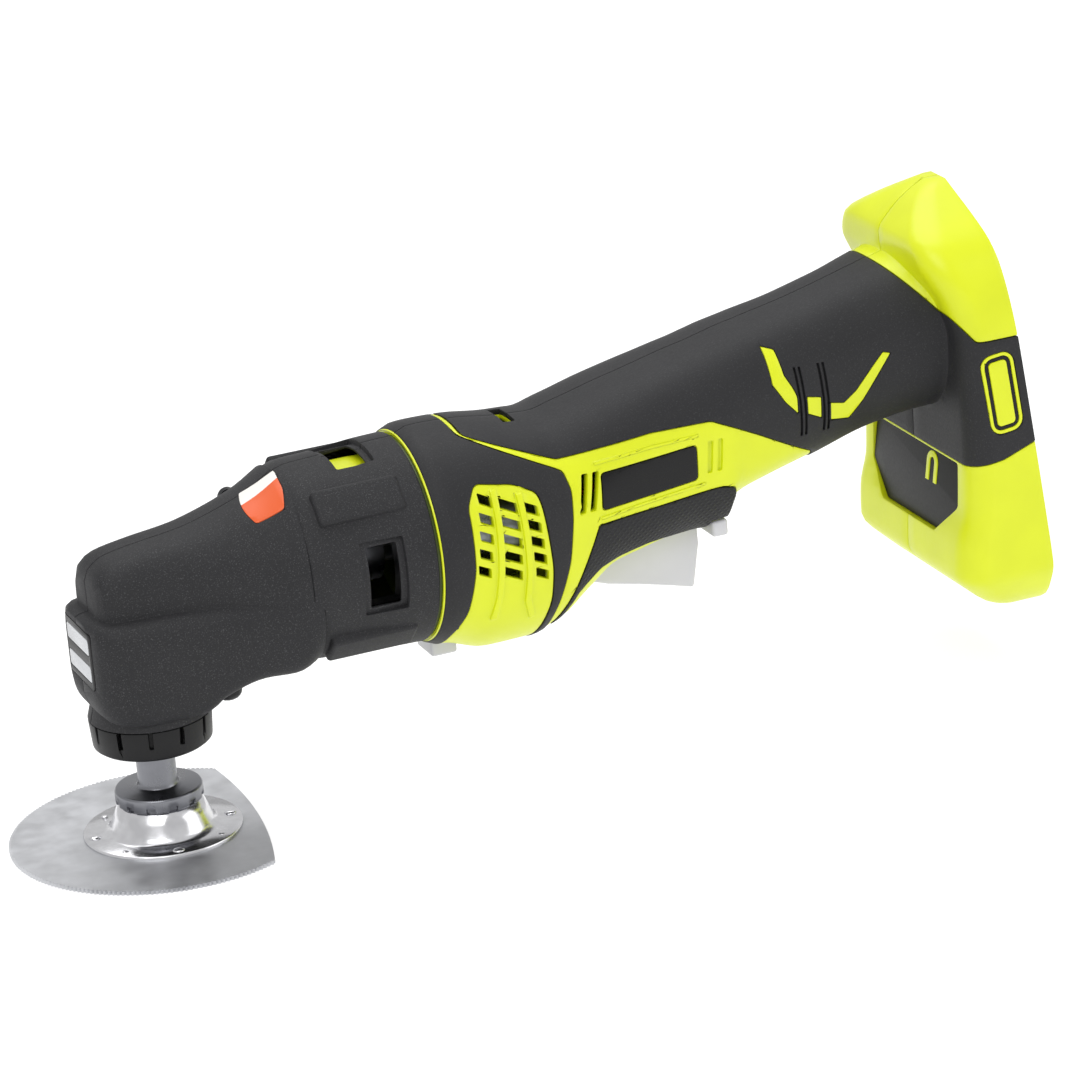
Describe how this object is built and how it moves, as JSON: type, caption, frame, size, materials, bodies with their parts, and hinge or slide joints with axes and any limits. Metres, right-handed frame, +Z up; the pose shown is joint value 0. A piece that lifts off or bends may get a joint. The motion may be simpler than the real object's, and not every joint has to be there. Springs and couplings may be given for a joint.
{
  "type": "oscillating multi tool",
  "caption": "Cordless oscillating multi tool: a two-shell body with grip and battery foot, a removable angled head, and a segment saw blade on a rocking spindle.",
  "frame": {"origin": "on the spindle's axis, at the flange face that the blade is clamped to", "axes": "+X rearwards along the tool to the battery foot, +Y to the tool's right side, +Z up, away from the blade"},
  "size_m": [0.316, 0.089, 0.1481],
  "materials": {
    "head_shell": "fine moulded texture, charcoal",
    "green_plastic": "semi-gloss moulded yellow-green",
    "overmould_rubber": "matte textured charcoal",
    "black_plastic": "moulded black",
    "reflector": "pale grey strips",
    "label": "plain orange and white label",
    "blade_steel": "ground and brushed",
    "hub_steel": "bright stamped steel",
    "spindle_steel": "dark oiled steel",
    "bearing_steel": "ground",
    "cast_alloy": "die cast",
    "plated_steel": "zinc plated",
    "black_oxide": "black oxide",
    "brass": "turned",
    "copper": "wound copper",
    "trigger_grey": "light grey moulded",
    "red_lead": "insulation"
  },
  "bodies": {
    "base": {"left_housing": "green_plastic", "right_housing": "green_plastic", "collar_rubber_left": "overmould_rubber", "collar_rubber_right": "overmould_rubber", "grip_rubber_left": "overmould_rubber", "grip_rubber_right": "overmould_rubber", "guard_rubber_left": "overmould_rubber", "guard_rubber_right": "overmould_rubber", "head_spigot": "green_plastic", "motor_can": "plated_steel", "field_magnets": "black_oxide", "front_motor_bearing": "bearing_steel", "rear_motor_bearing": "bearing_steel", "carbon_brushes": "black_oxide", "switch_module": "black_plastic", "battery_socket": "black_plastic", "battery_tray": "black_plastic", "battery_contacts": "brass", "side_badges": "black_plastic", "foot_badges": "green_plastic", "grip_inlays": "green_plastic", "magnet_tray": "black_plastic", "tray_magnet": "plated_steel", "housing_screws": "black_oxide", "trigger_pin": "spindle_steel", "lead_wires": "red_lead"},
    "head": {"head_left": "head_shell", "head_right": "head_shell", "front_trim": "black_plastic", "front_strips": "reflector", "label_plate": "label", "nose_ring": "black_plastic", "spindle_seal": "black_plastic", "gear_case": "cast_alloy", "lower_bearing": "bearing_steel", "upper_bearing": "bearing_steel", "input_bearing": "bearing_steel", "head_screws": "black_oxide"},
    "spindle": {"spindle": "spindle_steel", "rocker_fork": "spindle_steel", "blade": "blade_steel", "blade_hub": "hub_steel", "hub_rivets": "hub_steel", "clamp_washer": "plated_steel", "clamp_bolt": "black_oxide"},
    "eccentric": {"eccentric_shaft": "spindle_steel", "eccentric_bearing": "bearing_steel", "counterweight": "brass", "drive_socket": "spindle_steel"},
    "rotor": {"rotor_shaft": "spindle_steel", "armature": "copper", "commutator": "copper", "cooling_fan": "black_plastic", "drive_dog": "spindle_steel"},
    "trigger": {"trigger": "trigger_grey", "trigger_spring": "plated_steel"},
    "plunger": {"switch_plunger": "trigger_grey"},
    "lock": {"lock_button": "trigger_grey"},
    "release": {"release_button": "trigger_grey"}
  },
  "joints": [
    {"name": "head_removal", "type": "slide", "parent": "base", "child": "head", "axis": [-1, 0, 0], "range_m": [0, 0.04]},
    {"name": "spindle_swing", "type": "hinge", "parent": "head", "child": "spindle", "pos_m": [0, 0, 0], "axis": [0, 0, 1], "range_deg": [-1.6, 1.6]},
    {"name": "motor_spin", "type": "hinge", "parent": "base", "child": "rotor", "pos_m": [0.1, 0, 0.0624], "axis": [1, 0, 0], "continuous": true},
    {"name": "eccentric_spin", "type": "hinge", "parent": "head", "child": "eccentric", "pos_m": [0.0195, 0, 0.0624], "axis": [1, 0, 0], "continuous": true},
    {"name": "trigger_pull", "type": "hinge", "parent": "base", "child": "trigger", "pos_m": [0.134, 0, 0.047], "axis": [0, -1, 0], "range_deg": [0, 9], "stiffness_Nm_per_rad": 0.35, "springref_deg": -6.88, "deforming": ["trigger_spring"]},
    {"name": "plunger_slide", "type": "slide", "parent": "base", "child": "plunger", "axis": [0, 0, 1], "range_m": [0, 0.0049]},
    {"name": "lock_slide", "type": "slide", "parent": "base", "child": "lock", "axis": [0, 1, 0], "range_m": [-0.003, 0.003]},
    {"name": "release_press", "type": "slide", "parent": "base", "child": "release", "axis": [0, 0, 1], "range_m": [0, 0.003], "stiffness_N_per_m": 400, "springref_m": -0.002}
  ],
  "couplings": [
    {"joint": "eccentric_spin", "follows": "motor_spin", "ratio": 1},
    {"joint": "plunger_slide", "follows": "trigger_pull", "m_per_rad": 0.0305}
  ]
}
